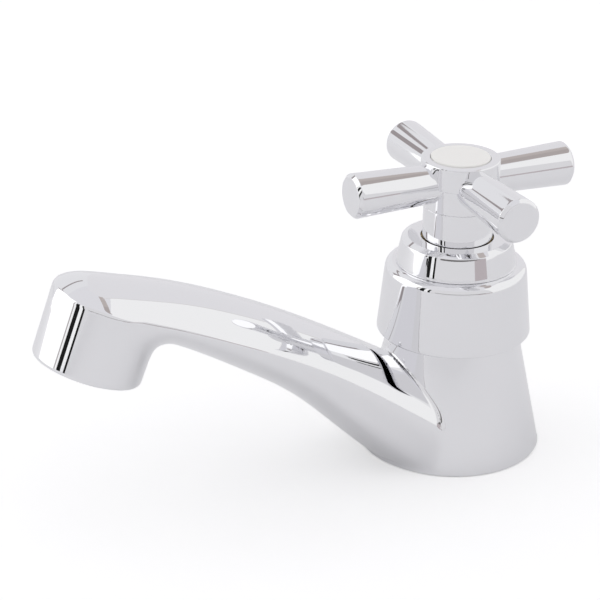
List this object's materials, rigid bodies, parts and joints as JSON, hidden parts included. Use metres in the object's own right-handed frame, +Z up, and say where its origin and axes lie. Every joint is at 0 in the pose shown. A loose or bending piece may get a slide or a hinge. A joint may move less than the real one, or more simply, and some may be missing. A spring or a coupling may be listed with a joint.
{
  "type": "cross handle basin tap",
  "caption": "Deck-mounted pillar tap with a tapered body, a high arched spout and a four-armed cross handle on a quarter-turn ceramic valve.",
  "frame": {"origin": "centre of the base's underside, on the tap's axis, where it rests on the deck", "axes": "+Z up along the handle's axis; the spout points along -Y; +X is to the right of someone who stands in front of the spout and faces the tap"},
  "size_m": [0.0622, 0.1461, 0.1281],
  "materials": {
    "polished_chrome": "polished",
    "plain_brass": "machined",
    "stainless_steel": "bright",
    "black_rubber": "matt",
    "red_fibre": "matt",
    "pale_nylon": "matt",
    "alumina": "lapped",
    "ivory_plastic": "gloss"
  },
  "bodies": {
    "body": {"tap_body": "polished_chrome", "shroud": "polished_chrome", "collar": "polished_chrome", "aerator_housing": "polished_chrome", "valve_headwork": "plain_brass", "inlet_shank": "plain_brass", "backnut": "plain_brass", "aerator_screen": "stainless_steel", "deck_washer": "black_rubber", "base_gasket": "black_rubber", "seat_seal": "black_rubber", "aerator_gasket": "black_rubber", "flange_seal": "red_fibre", "friction_washer": "pale_nylon", "aerator_insert": "pale_nylon", "fixed_disc": "alumina"},
    "handle": {"handle_hub": "polished_chrome", "handle_skirt": "polished_chrome", "arm_front": "polished_chrome", "arm_right": "polished_chrome", "arm_back": "polished_chrome", "arm_left": "polished_chrome", "handle_screw": "stainless_steel", "screw_washer": "stainless_steel", "index_disc": "ivory_plastic", "spline_insert": "plain_brass", "spindle": "plain_brass", "spindle_seals": "black_rubber", "spindle_circlip": "stainless_steel", "thrust_washer": "pale_nylon", "disc_driver": "pale_nylon", "moving_disc": "alumina"}
  },
  "joints": [
    {"name": "handle_turn", "type": "hinge", "parent": "body", "child": "handle", "pos_m": [0, 0, 0.0736], "axis": [0, 0, 1], "range_deg": [0, 90]}
  ]
}
